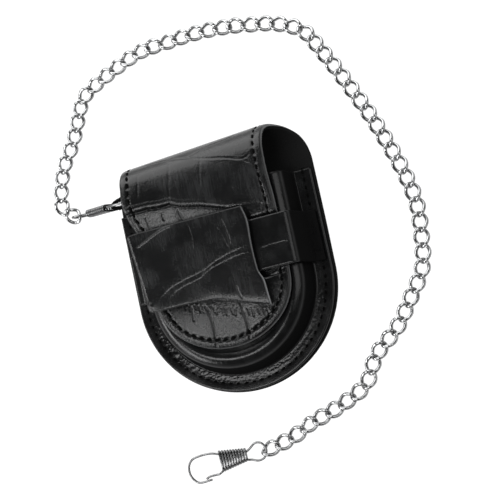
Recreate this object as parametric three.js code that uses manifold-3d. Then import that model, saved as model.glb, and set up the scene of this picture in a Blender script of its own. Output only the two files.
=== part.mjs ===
// Belt pouch for a pocket watch, lying on its back with its chain laid round it.
// Millimetres, +Z up. X runs across the pouch, Y runs up it towards the fold.
// The origin is on the back face, at the centre of the round bottom.

import * as THREE from 'three';
import Module from 'manifold-3d';
import { mergeVertices } from 'three/addons/utils/BufferGeometryUtils.js';

// Leather thicknesses and the clearance between layers
const backLeather = 2.2;
const pouchLeather = 1.8;
const strapLeather = 1.6;
const panelLeather = 1.8;
const clearance = 0.3;

// Back and flap, one piece of leather folded over the top
const backRadius = 36.3;
const foldRadius = 7.9;
const foldCentreY = 42.5;
const foldSkew = 0.04;
const flapEndY = -21.0;
const tongueLength = 20.6;
const tongueRise = 1.3;
const flapHeight = 16.1;
const bottomSteps = 10;
const backStations = [0, 20, 36];
const foldSteps = 11;
const tongueSteps = 9;
const leatherColumns = [0, 0.25, 0.5, 0.75, 1];

// Moulded pouch sewn on the back
const mouthY = 34.8;
const flangeHeight = backLeather + clearance + pouchLeather / 2;
const pouchArcSteps = 24;

// Keeper strap across the pouch
const strapCentreY = 10.9;
const strapWidth = 18;
const strapColumns = [-0.5, 0, 0.5];

// Keeper panel over the strap
const panelLeftLean = 3.0;
const panelRightLean = 3.2;
const panelDroop = 1.2;
const panelColumns = [0, 0.18, 0.5, 0.72, 1];

// Chain of twisted curb links
const linkCount = 61;
const linkWire = 1.15;
const linkWidth = 5.7;
const linkTwist = Math.PI / 4;
const linkSides = 10;
const linkWireSides = 5;
const linkGrip = 1.04;
const routeDivisions = 600;

// Spring hooks, bent from one wire
const hookWire = 0.8;
const hookWireSides = 5;
const coilTurns = 10;
const coilLength = 10.3;
const coilRearHalfWidth = 1.95;
const coilFrontHalfWidth = 3.6;
const coilHalfThickness = 1.1;
const coilStepsPerTurn = 8;
const coilSquareness = 2 / 3;

// Cord loop that the hook on the pouch is clipped to
const loopCord = 1.6;
const loopHalfLength = 6.0;
const loopHalfWidth = 2.0;
const loopSteps = 16;
const loopCordSides = 6;

// Half widths of the back and flap leather, measured along the leather from the origin
const leatherOutline = [
  { along: 0, left: -36.3, right: 36.3 },
  { along: 20, left: -36.4, right: 36.4 },
  { along: 38, left: -36.1, right: 36.3 },
  { along: 42, left: -35.5, right: 35.7 },
  { along: 46, left: -34.1, right: 33.9 },
  { along: 50, left: -31.9, right: 30.6 },
  { along: 54, left: -30.4, right: 27.3 },
  { along: 58, left: -29.8, right: 25.3 },
  { along: 62, left: -29.6, right: 24.5 },
  { along: 67, left: -29.6, right: 24.2 },
  { along: 72, left: -30.0, right: 24.2 },
  { along: 78, left: -29.2, right: 24.4 },
  { along: 84, left: -27.2, right: 24.7 },
  { along: 90, left: -25.0, right: 24.7 },
  { along: 100, left: -24.7, right: 24.6 },
];
const tongueLeft = -24.7;
const tongueRight = 24.3;

// Height of the flap's middle layer along its front, with the slant of its crease
const flapFront = [
  { y: 37.0, z: 17.2, skew: -0.04 },
  { y: 29.2, z: 16.4, skew: -0.18 },
  { y: 25.0, z: 16.9, skew: -0.08 },
  { y: 20.0, z: 16.1, skew: 0 },
];

// Middle layer of the pouch's wall, from the flange's edge to the middle of its face
const pouchWall = [
  { radius: 35.3, z: flangeHeight },
  { radius: 31.6, z: flangeHeight },
  { radius: 29.2, z: 3.9 },
  { radius: 28.2, z: 5.8 },
  { radius: 27.3, z: 10.4 },
  { radius: 26.1, z: 12.7 },
  { radius: 24.0, z: 13.6 },
  { radius: 20.0, z: 13.75 },
  { radius: 0, z: 13.8 },
];

// Route of the keeper strap's middle layer, from the right flange to the left one
const strapRoute = [
  { x: 34.9, z: 5.5 },
  { x: 33.0, z: 5.5 },
  { x: 31.1, z: 6.6 },
  { x: 29.8, z: 9.8 },
  { x: 28.9, z: 14.6 },
  { x: 28.1, z: 17.3 },
  { x: 26.4, z: 18.5 },
  { x: 12.0, z: 18.6 },
  { x: -12.0, z: 18.6 },
  { x: -24.9, z: 18.55 },
  { x: -26.4, z: 17.7 },
  { x: -27.2, z: 15.8 },
  { x: -28.2, z: 13.4 },
  { x: -29.4, z: 10.4 },
  { x: -30.2, z: 8.0 },
  { x: -31.4, z: 6.2 },
  { x: -33.2, z: 5.5 },
  { x: -34.9, z: 5.5 },
];

// Sections of the keeper panel from its left end to its right end
const panelSections = [
  { x: -28.7, z: 20.6, top: 24.6, bottom: -2.8 },
  { x: -27.8, z: 21.1, top: 24.8, bottom: -3.2 },
  { x: -25.0, z: 21.3, top: 25.0, bottom: -3.4 },
  { x: -17.0, z: 21.4, top: 25.0, bottom: -3.4 },
  { x: -8.0, z: 21.4, top: 25.0, bottom: -3.8 },
  { x: 3.0, z: 21.4, top: 25.0, bottom: -7.0 },
  { x: 13.7, z: 21.2, top: 25.0, bottom: -10.2 },
];

// Route of the chain on the surface, from the pouch's hook to the free hook
const chainRoute = [
  { x: -54.9, y: 40.9 },
  { x: -58.5, y: 45.3 },
  { x: -57.6, y: 51.2 },
  { x: -54.7, y: 59.2 },
  { x: -49.1, y: 67.7 },
  { x: -44.6, y: 77.2 },
  { x: -42.0, y: 82.0 },
  { x: -37.8, y: 84.9 },
  { x: -27.5, y: 89.4 },
  { x: -16.6, y: 92.8 },
  { x: -7.5, y: 93.2 },
  { x: 4.0, y: 93.5 },
  { x: 15.2, y: 92.6 },
  { x: 24.3, y: 90.9 },
  { x: 35.1, y: 88.2 },
  { x: 44.0, y: 82.9 },
  { x: 48.8, y: 74.3 },
  { x: 53.4, y: 64.5 },
  { x: 61.4, y: 44.8 },
  { x: 67.7, y: 23.7 },
  { x: 69.2, y: 13.2 },
  { x: 68.3, y: 2.4 },
  { x: 66.2, y: -8.1 },
  { x: 60.0, y: -17.3 },
  { x: 52.8, y: -26.4 },
  { x: 43.8, y: -33.8 },
  { x: 38.1, y: -42.5 },
  { x: 28.3, y: -47.6 },
  { x: 16.9, y: -51.3 },
  { x: 8.3, y: -54.9 },
  { x: 0.0, y: -57.0 },
];

// Links that lie turned on their side, counted from the pouch's hook
const turnedLinks = [
  { link: 0, roll: 0.3 },
  { link: 15, roll: 0.35 },
  { link: 21, roll: 0.35 },
  { link: 26, roll: -0.25 },
  { link: 57, roll: 0.35 },
  { link: 60, roll: 0.3 },
];

// Bends of a hook's wire in its own plane: forward of the coil's rear end, and aside
const hookGate = [
  { forward: 16.6, aside: -4.7 },
  { forward: 15.5, aside: -4.2 },
  { forward: 11.6, aside: -4.2 },
];
const hookRear = [
  { forward: -1.2, aside: -2.2 },
  { forward: -3.8, aside: -3.1 },
  { forward: -6.0, aside: -2.5 },
  { forward: -7.2, aside: 0 },
  { forward: -6.0, aside: 2.5 },
  { forward: -3.8, aside: 3.1 },
  { forward: -1.2, aside: 1.6 },
];
const hookFront = [
  { forward: 0.4, aside: 0.9 },
  { forward: 10.6, aside: 1.7 },
  { forward: 12.8, aside: 3.4 },
  { forward: 16.5, aside: 3.7 },
  { forward: 20.2, aside: 3.1 },
  { forward: 21.9, aside: 1.2 },
  { forward: 22.2, aside: -1.6 },
  { forward: 21.3, aside: -3.8 },
  { forward: 19.6, aside: -5.3 },
  { forward: 14.7, aside: -5.4 },
];

// Places of the two hooks: the rear end of each coil, heading, rise and roll in radians
const pouchHookPlace = { x: -47.4, y: 39.4, z: 4.75, heading: -0.06, rise: 0.34, roll: 1.65 };
const freeHookPlace = { x: -8.7, y: -57.0, z: 1.55, heading: Math.PI + 0.04, rise: 0, roll: Math.PI };
const cordLoopPlace = { x: -30.0, y: 38.5, z: 12.9, tilt: -0.34 };

const wasm = await Module();
wasm.setup();

const leatherFinish = new THREE.MeshStandardMaterial({ color: 0x141414, roughness: 0.45, metalness: 0 });
const smoothLeatherFinish = new THREE.MeshStandardMaterial({ color: 0x0e0e0e, roughness: 0.6, metalness: 0 });
const cordFinish = new THREE.MeshStandardMaterial({ color: 0x0a0a0a, roughness: 0.7, metalness: 0 });
const chromeFinish = new THREE.MeshStandardMaterial({ color: 0xc9ccd0, roughness: 0.15, metalness: 1 });

// Closed geometry from a list of points and triangles, with shared points merged
function closedGeometry(points, triangles) {
  const geometry = new THREE.BufferGeometry();
  const values = points.flatMap((point) => [point.x, point.y, point.z]);
  geometry.setAttribute('position', new THREE.Float32BufferAttribute(values, 3));
  geometry.setIndex(triangles.flat());
  const merged = mergeVertices(geometry, 1e-3);
  const index = merged.getIndex().array;
  const kept = [];
  for (let corner = 0; corner < index.length; corner += 3) {
    const [a, b, c] = [index[corner], index[corner + 1], index[corner + 2]];
    if (a !== b && b !== c && c !== a) {
      kept.push(a, b, c);
    }
  }
  merged.setIndex(kept);
  merged.computeVertexNormals();
  return merged;
}

// A sheet of even thickness: rows of points on its middle layer, with the normal at each
function sheetGeometry(rows, thickness) {
  const rowCount = rows.length;
  const columnCount = rows[0].length;
  const half = thickness / 2;
  const points = [];
  for (const side of [half, -half]) {
    for (const row of rows) {
      for (const { point, normal } of row) {
        points.push(point.clone().addScaledVector(normal, side));
      }
    }
  }
  const layer = rowCount * columnCount;
  const at = (row, column, side) => side * layer + row * columnCount + column;
  const triangles = [];
  const quad = (a, b, c, d) => triangles.push([a, b, c], [a, c, d]);
  for (let row = 0; row < rowCount - 1; row += 1) {
    for (let column = 0; column < columnCount - 1; column += 1) {
      const corners = [[row, column], [row + 1, column], [row + 1, column + 1], [row, column + 1]];
      quad(...corners.map(([r, c]) => at(r, c, 0)));
      quad(...corners.reverse().map(([r, c]) => at(r, c, 1)));
    }
  }
  const last = { row: rowCount - 1, column: columnCount - 1 };
  for (let row = 0; row < last.row; row += 1) {
    quad(at(row, 0, 0), at(row, 0, 1), at(row + 1, 0, 1), at(row + 1, 0, 0));
    const far = last.column;
    quad(at(row + 1, far, 0), at(row + 1, far, 1), at(row, far, 1), at(row, far, 0));
  }
  for (let column = 0; column < last.column; column += 1) {
    quad(at(0, column + 1, 0), at(0, column + 1, 1), at(0, column, 1), at(0, column, 0));
    const end = last.row;
    quad(at(end, column, 0), at(end, column, 1), at(end, column + 1, 1), at(end, column + 1, 0));
  }
  return closedGeometry(points, triangles);
}

// Value of one column of a table at a place along another column, straight between rows
function tableValue(table, key, place, column) {
  let index = 0;
  while (index < table.length - 2 && table[index + 1][key] < place) {
    index += 1;
  }
  const [start, end] = [table[index], table[index + 1]];
  const share = THREE.MathUtils.clamp((place - start[key]) / (end[key] - start[key]), 0, 1);
  return THREE.MathUtils.lerp(start[column], end[column], share);
}

// Direction of a polyline at one of its points, from the points on either side
function directionAt(line, index) {
  const before = line[Math.max(index - 1, 0)];
  const after = line[Math.min(index + 1, line.length - 1)];
  return after.clone().sub(before).normalize();
}

// Back and flap: stations along the leather, each with its place in the side view
function backAndFlap() {
  const halfBack = backLeather / 2;
  const stations = [];
  for (let step = 0; step < bottomSteps; step += 1) {
    const turn = (Math.PI / 2) * (1 - step / bottomSteps);
    const reach = backRadius * Math.cos(turn);
    const y = -backRadius * Math.sin(turn);
    stations.push({ y, z: halfBack, left: -reach, right: reach, skew: 0 });
  }
  const widthsAt = (along) => ({
    left: tableValue(leatherOutline, 'along', along, 'left'),
    right: tableValue(leatherOutline, 'along', along, 'right'),
  });
  for (const along of backStations) {
    stations.push({ y: along, z: halfBack, ...widthsAt(along), skew: 0 });
  }
  const foldCentreZ = halfBack + foldRadius;
  for (let step = 0; step <= foldSteps; step += 1) {
    const turn = Math.PI * (step / foldSteps);
    const along = foldCentreY + foldRadius * turn;
    const y = foldCentreY + foldRadius * Math.sin(turn);
    const z = foldCentreZ - foldRadius * Math.cos(turn);
    stations.push({ y, z, ...widthsAt(along), skew: foldSkew * Math.sin(turn) });
  }
  const frontStart = foldCentreY + foldRadius * Math.PI;
  for (const { y, z, skew } of flapFront) {
    stations.push({ y, z, ...widthsAt(frontStart + foldCentreY - y), skew });
  }
  const tongueStartY = flapEndY + tongueLength;
  for (let step = 0; step <= tongueSteps; step += 1) {
    const turn = (Math.PI / 2) * (step / tongueSteps);
    const share = Math.sin(turn);
    const y = tongueStartY - tongueLength * share;
    const z = flapHeight + tongueRise * Math.sin(Math.PI * Math.sqrt(share));
    const middle = (tongueLeft + tongueRight) / 2;
    const reach = ((tongueRight - tongueLeft) / 2) * Math.cos(turn);
    stations.push({ y, z, left: middle - reach, right: middle + reach, skew: 0 });
  }
  const profile = stations.map(({ y, z }) => new THREE.Vector3(0, y, z));
  const rows = stations.map(({ y, z, left, right, skew }, index) => {
    const direction = directionAt(profile, index);
    const normal = new THREE.Vector3(0, -direction.z, direction.y);
    return leatherColumns.map((share) => {
      const x = THREE.MathUtils.lerp(left, right, share);
      return { point: new THREE.Vector3(x, y + skew * x, z), normal };
    });
  });
  return sheetGeometry(rows.map((row) => row.reverse()), backLeather);
}

// Pouch: its wall section carried down one side, round the bottom and up the other side
function pouch() {
  const section = pouchWall.map(({ radius, z }) => new THREE.Vector3(radius, 0, z));
  const stations = [];
  for (const y of [mouthY, mouthY / 2]) {
    stations.push({ y, turn: Math.PI });
  }
  for (let step = 0; step <= pouchArcSteps; step += 1) {
    stations.push({ y: 0, turn: Math.PI * (1 + step / pouchArcSteps) });
  }
  for (const y of [mouthY / 2, mouthY]) {
    stations.push({ y, turn: 2 * Math.PI });
  }
  const rows = stations.map(({ y, turn }) => {
    const outward = new THREE.Vector3(Math.cos(turn), Math.sin(turn), 0);
    return section.map((sectionPoint, index) => {
      const point = outward.clone().multiplyScalar(sectionPoint.x);
      point.y += y;
      point.z = sectionPoint.z;
      const direction = directionAt(section, index);
      const normal = outward.clone().multiplyScalar(direction.z);
      normal.z = -direction.x;
      if (sectionPoint.x === 0 || index === 0) {
        normal.set(0, 0, 1);
      }
      return { point, normal };
    });
  });
  return sheetGeometry(rows, pouchLeather);
}

// Keeper strap: its route in the front view, carried across its width
function keeperStrap() {
  const route = strapRoute.map(({ x, z }) => new THREE.Vector3(x, 0, z));
  const rows = route.map((place, index) => {
    const direction = directionAt(route, index);
    const normal = new THREE.Vector3(direction.z, 0, -direction.x);
    return strapColumns.map((share) => {
      const point = new THREE.Vector3(place.x, strapCentreY + share * strapWidth, place.z);
      return { point, normal };
    });
  });
  return sheetGeometry(rows.map((row) => row.reverse()), strapLeather);
}

// Keeper panel: sections across it, its upper and lower edges drooping off the strap
function keeperPanel() {
  const spine = panelSections.map(({ x, z }) => new THREE.Vector3(x, 0, z));
  const rows = panelSections.map(({ x, z, top, bottom }, index) => {
    const direction = directionAt(spine, index);
    const normal = new THREE.Vector3(-direction.z, 0, direction.x);
    const lean = THREE.MathUtils.lerp(panelLeftLean, panelRightLean, index / (panelSections.length - 1));
    return panelColumns.map((share) => {
      const droop = panelDroop * (2 * share - 1) ** 4;
      const y = THREE.MathUtils.lerp(top, bottom, share);
      return { point: new THREE.Vector3(x + lean * share, y, z - droop), normal };
    });
  });
  return sheetGeometry(rows.map((row) => row.reverse()), panelLeather);
}

// A round wire along a list of points, closed on itself or capped at its ends
function wireGeometry(path, radius, sides, closed) {
  const count = path.length;
  const directionOf = (index) => {
    const before = closed ? path[(index + count - 1) % count] : path[Math.max(index - 1, 0)];
    const after = closed ? path[(index + 1) % count] : path[Math.min(index + 1, count - 1)];
    return after.clone().sub(before).normalize();
  };
  const points = [];
  const seed = Math.abs(directionOf(0).z) > 0.9 ? new THREE.Vector3(1, 0, 0) : new THREE.Vector3(0, 0, 1);
  const across = seed.clone();
  path.forEach((place, index) => {
    const direction = directionOf(index);
    across.addScaledVector(direction, -across.dot(direction)).normalize();
    const other = direction.clone().cross(across);
    for (let side = 0; side < sides; side += 1) {
      const turn = (2 * Math.PI * side) / sides;
      const point = place.clone().addScaledVector(across, radius * Math.cos(turn));
      points.push(point.addScaledVector(other, radius * Math.sin(turn)));
    }
  });
  const triangles = [];
  const at = (step, side) => (step % count) * sides + (side % sides);
  for (let step = 0; step < (closed ? count : count - 1); step += 1) {
    for (let side = 0; side < sides; side += 1) {
      const [a, b] = [at(step, side), at(step, side + 1)];
      const [c, d] = [at(step + 1, side + 1), at(step + 1, side)];
      triangles.push([a, b, c], [a, c, d]);
    }
  }
  if (!closed) {
    for (let side = 1; side < sides - 1; side += 1) {
      triangles.push([at(0, 0), at(0, side + 1), at(0, side)]);
      triangles.push([at(count - 1, 0), at(count - 1, side), at(count - 1, side + 1)]);
    }
  }
  return closedGeometry(points, triangles);
}

// Spring hook: gate, flattened cone of coils, rear loop and hook, all one wire
function springHook() {
  const flat = ({ forward, aside }) => new THREE.Vector3(forward, aside, 0);
  const rounded = (value) => Math.sign(value) * Math.abs(value) ** coilSquareness;
  const path = hookGate.map(flat);
  const coilSteps = coilTurns * coilStepsPerTurn;
  for (let step = 0; step <= coilSteps; step += 1) {
    const share = step / coilSteps;
    const turn = 2 * Math.PI * (step / coilStepsPerTurn);
    const halfWidth = THREE.MathUtils.lerp(coilFrontHalfWidth, coilRearHalfWidth, share);
    const aside = -halfWidth * rounded(Math.cos(turn));
    const height = coilHalfThickness * rounded(Math.sin(turn));
    path.push(new THREE.Vector3(coilLength * (1 - share), aside, height));
  }
  path.push(...hookRear.map(flat), ...hookFront.map(flat));
  return wireGeometry(path, hookWire / 2, hookWireSides, false);
}

// Turn and move a hook to its place
function placeHook(mesh, { x, y, z, heading, rise, roll }) {
  mesh.position.set(x, y, z);
  mesh.rotation.set(roll, -rise, heading, 'ZYX');
}

// Cord loop: an oval ring that passes through the hook's eye under the flap's left edge
function cordLoop() {
  const path = [];
  for (let step = 0; step < loopSteps; step += 1) {
    const turn = (2 * Math.PI * step) / loopSteps;
    const x = loopHalfLength * Math.cos(turn);
    path.push(new THREE.Vector3(x, loopHalfWidth * Math.sin(turn), 0));
  }
  return wireGeometry(path, loopCord / 2, loopCordSides, true);
}

// One curb link about the origin, along X: a torus drawn out to an oval and twisted.
// A straight side of the ring lies at each end, with an edge of the wire facing inwards.
function curbLink(halfLength, roll) {
  const halfSide = Math.PI / linkSides;
  const halfWidth = (linkWidth - linkWire) / 2;
  const halfReach = halfLength / Math.cos(halfSide);
  const ring = new THREE.TorusGeometry(1, linkWire / 2, linkWireSides, linkSides).rotateZ(halfSide);
  ring.deleteAttribute('normal');
  ring.deleteAttribute('uv');
  const link = mergeVertices(ring, 1e-4);
  const position = link.getAttribute('position');
  const point = new THREE.Vector3();
  const axis = new THREE.Vector3(1, 0, 0);
  for (let index = 0; index < position.count; index += 1) {
    point.fromBufferAttribute(position, index);
    const turn = Math.atan2(point.y, point.x);
    const fat = 1 - Math.hypot(point.x, point.y);
    const along = Math.cos(turn);
    point.set((halfReach + fat) * along, (halfWidth + fat) * Math.sin(turn), -point.z);
    point.applyAxisAngle(axis, linkTwist * along + roll);
    position.setXYZ(index, point.x, point.y, point.z);
  }
  return link;
}

function toSolid(geometry) {
  const vertProperties = new Float32Array(geometry.getAttribute('position').array);
  const triVerts = new Uint32Array(geometry.getIndex().array);
  return new wasm.Manifold(new wasm.Mesh({ numProp: 3, vertProperties, triVerts }));
}

function toGeometry(solid) {
  const mesh = solid.getMesh();
  const geometry = new THREE.BufferGeometry();
  geometry.setAttribute('position', new THREE.BufferAttribute(mesh.vertProperties, 3));
  geometry.setIndex(new THREE.BufferAttribute(mesh.triVerts, 1));
  geometry.computeVertexNormals();
  return geometry;
}

// Chain: links set along the route, each resting on the surface and gripping the next
function chain() {
  const route = new THREE.CatmullRomCurve3(chainRoute.map(({ x, y }) => new THREE.Vector3(x, y, 0)));
  route.arcLengthDivisions = routeDivisions;
  const pitch = route.getLength() / (linkCount - 1);
  const halfLength = (pitch + linkGrip) / 2;
  let body = null;
  for (let index = 0; index < linkCount; index += 1) {
    const share = index / (linkCount - 1);
    const turned = turnedLinks.find(({ link }) => link === index);
    const link = curbLink(halfLength, turned ? turned.roll : 0);
    const place = route.getPointAt(share);
    const direction = route.getTangentAt(share);
    link.rotateZ(Math.atan2(direction.y, direction.x));
    link.computeBoundingBox();
    link.translate(place.x, place.y, -link.boundingBox.min.z);
    const solid = toSolid(link);
    body = body ? body.add(solid) : solid;
  }
  return toGeometry(body);
}

const pouchOnBelt = new THREE.Group();

function addPiece(name, geometry, material) {
  const mesh = new THREE.Mesh(geometry, material);
  mesh.name = name;
  pouchOnBelt.add(mesh);
  return mesh;
}

addPiece('back_and_flap', backAndFlap(), leatherFinish);
addPiece('pouch', pouch(), smoothLeatherFinish);
addPiece('keeper_strap', keeperStrap(), smoothLeatherFinish);
addPiece('keeper_panel', keeperPanel(), leatherFinish);
const hookCordLoop = addPiece('hook_cord_loop', cordLoop(), cordFinish);
hookCordLoop.position.copy(cordLoopPlace);
hookCordLoop.rotation.y = cordLoopPlace.tilt;
placeHook(addPiece('pouch_hook', springHook(), chromeFinish), pouchHookPlace);
placeHook(addPiece('free_hook', springHook(), chromeFinish), freeHookPlace);
addPiece('chain', chain(), chromeFinish);

export default pouchOnBelt;
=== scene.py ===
import math

import bmesh
import bpy
import numpy as np
from mathutils import Matrix, Vector
from mathutils.geometry import delaunay_2d_cdt
from mathutils.kdtree import KDTree


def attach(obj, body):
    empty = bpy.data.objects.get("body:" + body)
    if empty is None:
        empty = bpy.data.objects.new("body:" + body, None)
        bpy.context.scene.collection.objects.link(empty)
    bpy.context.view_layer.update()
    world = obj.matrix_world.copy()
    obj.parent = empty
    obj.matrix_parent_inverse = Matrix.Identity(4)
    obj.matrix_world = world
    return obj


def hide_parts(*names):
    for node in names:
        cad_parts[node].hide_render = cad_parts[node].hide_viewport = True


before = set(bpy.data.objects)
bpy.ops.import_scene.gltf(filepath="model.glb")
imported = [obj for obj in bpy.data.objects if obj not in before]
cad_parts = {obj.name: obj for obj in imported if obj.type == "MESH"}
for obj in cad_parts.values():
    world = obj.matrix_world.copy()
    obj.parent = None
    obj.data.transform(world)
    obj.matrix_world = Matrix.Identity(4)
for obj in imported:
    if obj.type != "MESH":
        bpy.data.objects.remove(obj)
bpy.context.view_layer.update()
mm = 0.001  # every size below is in millimetres until it reaches a mesh
print("frame loaded:", ", ".join(sorted(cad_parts)))


class Wire:  # one socket of a node tree, with the maths that is done on it
    def __init__(self, tree, socket=None):
        self.tree = tree
        self.socket = socket

    def feed(self, node, sockets):  # values or links into a node's sockets
        for key, value in dict(sockets).items():
            if isinstance(value, Wire):
                self.tree.links.new(value.socket, node.inputs[key])
            else:
                node.inputs[key].default_value = value
        return node

    def node(self, kind, sockets=(), output=0, **settings):
        made = self.tree.nodes.new(kind)
        for name, value in settings.items():
            setattr(made, name, value)
        return Wire(self.tree, self.feed(made, sockets).outputs[output])

    def maths(self, operation, *values):
        return self.node("ShaderNodeMath", dict(enumerate(values)), operation=operation)

    def __add__(self, other):
        return self.maths("ADD", self, other)

    def __sub__(self, other):
        return self.maths("SUBTRACT", self, other)

    def __rsub__(self, other):
        return self.maths("SUBTRACT", other, self)

    def __mul__(self, other):
        return self.maths("MULTIPLY", self, other)

    __radd__, __rmul__ = __add__, __mul__

    def between(self, low, high):  # 0 at low, 1 at high
        ends = {"Value": self, "From Min": low, "From Max": high}
        return self.node("ShaderNodeMapRange", ends, interpolation_type="SMOOTHSTEP")

    def mixColour(self, first, second):  # this value is the share of the second colour
        return self.node("ShaderNodeMix", {0: self, 6: first, 7: second}, 2, data_type="RGBA")


def grey(value, tint=0.0):  # a linear grey, a little blue where tint is above 0
    return (value * (1 - tint), value, value * (1 + tint), 1.0)


def startMaterial(name):
    material = bpy.data.materials.new(name)
    material.use_nodes = True
    wire = Wire(material.node_tree)
    place = wire.node("ShaderNodeTexCoord", output="Object")
    return material, wire, wire.tree.nodes["Principled BSDF"], place


def noise(wire, place, size, detail=3.0, roughness=0.55):
    return wire.node("ShaderNodeTexNoise", {
        "Vector": place, "Scale": 1 / (size * mm), "Detail": detail, "Roughness": roughness}, "Fac")


def bump(wire, strength, distance, height):
    return wire.node("ShaderNodeBump", {
        "Strength": strength, "Distance": distance * mm, "Height": height}, "Normal")


# Leather: base is the dyed face, the paler colour its lighter clouds of wear, groove the painted shade in
# grooves and stitch dips, cut the colour of the cut edge, which in the embossed leather is mostly a painted
# highlight, flesh the inside
leatherLooks = {
    "embossedLeather": {
        "base": grey(0.0044, 0.03), "paler": grey(0.0075, 0.03), "groove": grey(0.0012),
        # the embossed cut colour is very pale: a painted highlight along the cut edges, over the raw edge's
        # own lighter tone
        "cut": grey(0.300, 0.02), "flesh": grey(0.015), "roughness": 0.20, "gloss": 0.27,
        "grainSize": 0.5, "grainBump": 0.5, "fineSize": 0.22, "cloudSize": 11.0,
        "wrinkle": grey(0.0140, 0.03), "wrinkleSize": 0.7, "wrinkleStretch": 0.10, "wrinkleBump": 0.35,
    },
    "mouldedLeather": {
        "base": grey(0.0036, 0.03), "paler": grey(0.0054, 0.03), "groove": grey(0.0012),
        "cut": grey(0.012, 0.02), "flesh": grey(0.0075), "roughness": 0.19, "gloss": 0.24,
        "grainSize": 0.45, "grainBump": 0.22, "fineSize": 0.16, "cloudSize": 9.0,
        "wrinkle": grey(0.0075, 0.03), "wrinkleSize": 1.4, "wrinkleStretch": 0.3, "wrinkleBump": 0.15,
    },
}


# What both share: where clouds, wrinkles and the fading at a low slant begin and end, and what each adds
leatherMix = {
    "cloud": (0.35, 0.7), "wrinkle": (0.42, 0.6), "slant": (0.42, 0.72), "grooveShade": 0.85, "cutEven": 0.55,
    "cloudRough": 0.10, "fineRough": 0.16, "cutRough": 0.15, "fineHeight": 0.4, "grainDepth": 0.14,
}


def leatherMaterial(name):
    look, mix = leatherLooks[name], leatherMix
    material, wire, shader, place = startMaterial(name)
    groove, cut, dull = (wire.node("ShaderNodeAttribute", {}, "Fac", attribute_name=layer)
                         for layer in ("groove", "cut", "dull"))
    cloud = noise(wire, place, look["cloudSize"], 4.0).between(*mix["cloud"])
    fine = noise(wire, place, look["fineSize"], 3.0, 0.65)
    grainScale = 1 / (look["grainSize"] * mm)
    cells = wire.node("ShaderNodeTexVoronoi", {
        "Vector": place, "Scale": grainScale, "Smoothness": 0.4}, "Distance", feature="SMOOTH_F1")
    stretched = wire.node("ShaderNodeMapping", {"Vector": place, "Scale": (1.0, look["wrinkleStretch"], 1.0)})
    wrinkles = cloud * noise(wire, stretched, look["wrinkleSize"], 3.0, 0.6).between(*mix["wrinkle"])
    colour = cloud.mixColour(look["base"], look["paler"])
    colour = wrinkles.mixColour(colour, look["wrinkle"])
    # painted shade in the grooves and stitch dips
    colour = (groove * mix["grooveShade"]).mixColour(colour, look["groove"])
    # cut edges take the pale cut colour: a painted highlight along the edges
    colour = (cut * (mix["cutEven"] + (1 - mix["cutEven"]) * fine)).mixColour(colour, look["cut"])
    rough = look["roughness"] + mix["cloudRough"] * (cloud - 0.5) + mix["fineRough"] * (fine - 0.5)
    rough = rough + mix["cutRough"] * cut
    height = (1 - mix["fineHeight"]) * (1 - cells) + mix["fineHeight"] * fine + look["wrinkleBump"] * wrinkles
    grain = bump(wire, look["grainBump"], mix["grainDepth"], height)
    wire.feed(shader, {
        "Base Color": colour, "Roughness": rough, "Specular IOR Level": look["gloss"], "Normal": grain})
    fleshColour = fine.mixColour(look["flesh"], look["base"])
    flesh = wire.node("ShaderNodeBsdfPrincipled", {
        "Base Color": fleshColour, "Roughness": 0.9, "Specular IOR Level": 0.0, "Normal": grain})
    slant = wire.node("ShaderNodeLayerWeight", {"Blend": 0.5}, "Facing")
    dull = dull + slant.between(*mix["slant"])  # the gloss dies away at a low slant
    face = Wire(wire.tree, shader.outputs["BSDF"])
    both = wire.node("ShaderNodeMixShader", {0: dull.between(0.0, 1.0), 1: face, 2: flesh})
    wire.feed(wire.tree.nodes["Material Output"], {"Surface": both})
    return material


threadLook = {"dark": grey(0.0009), "pale": grey(0.0027), "roughness": 0.6, "gloss": 0.02,
              "strandSize": 0.12, "strandRough": 0.25, "strandBump": 0.5, "strandDepth": 0.05}


def threadMaterial():
    look = threadLook
    material, wire, shader, place = startMaterial("waxedThread")
    strand = noise(wire, place, look["strandSize"], 2.0)
    wire.feed(shader, {
        "Base Color": strand.mixColour(look["dark"], look["pale"]),
        "Roughness": look["roughness"] + look["strandRough"] * strand, "Specular IOR Level": look["gloss"],
        "Normal": bump(wire, look["strandBump"], look["strandDepth"], strand)})
    return material


# Plating: shade is the dull metal, shine the polished; the hooks' metal is a darker copy of the same plating,
# painted shade
metalLooks = {"brightPlating": {"shade": grey(0.25, 0.01), "shine": grey(0.38, 0.01)},
              "shadedHookMetal": {"shade": grey(0.095, 0.01), "shine": grey(0.19, 0.01)}}
polish = {"cloudSize": 2.6, "scratchSize": 0.25, "roughness": 0.06, "cloudRough": 0.08, "scratchRough": 0.06,
          "scratchBump": 0.05, "scratchDepth": 0.05}


def metalMaterial(name):
    look = metalLooks[name]
    material, wire, shader, place = startMaterial(name)
    cloud = noise(wire, place, polish["cloudSize"], 3.0)
    scratch = noise(wire, place, polish["scratchSize"], 4.0, 0.7)
    rough = polish["roughness"] + polish["cloudRough"] * cloud + polish["scratchRough"] * scratch
    wire.feed(shader, {
        "Base Color": cloud.between(0.3, 0.7).mixColour(look["shade"], look["shine"]), "Metallic": 1.0,
        "Roughness": rough, "Normal": bump(wire, polish["scratchBump"], polish["scratchDepth"], scratch)})
    return material


embossedLeather = leatherMaterial("embossedLeather")
mouldedLeather = leatherMaterial("mouldedLeather")
waxedThread = threadMaterial()
brightPlating = metalMaterial("brightPlating")
# the hooks' plating, darker than the chain's: painted shade
shadedHookMetal = metalMaterial("shadedHookMetal")
print("materials made")


def clamp(values):
    return np.clip(values, 0, 1)


def gather(*parts):  # coordinates side by side, a point in each row
    return np.column_stack(parts)


def hermite(start, end, startSlope, endSlope, share):
    square, cube = share ** 2, share ** 3
    return ((2 * cube - 3 * square + 1) * start + (cube - 2 * square + share) * startSlope
            + (3 * square - 2 * cube) * end + (cube - square) * endSlope)


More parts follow.
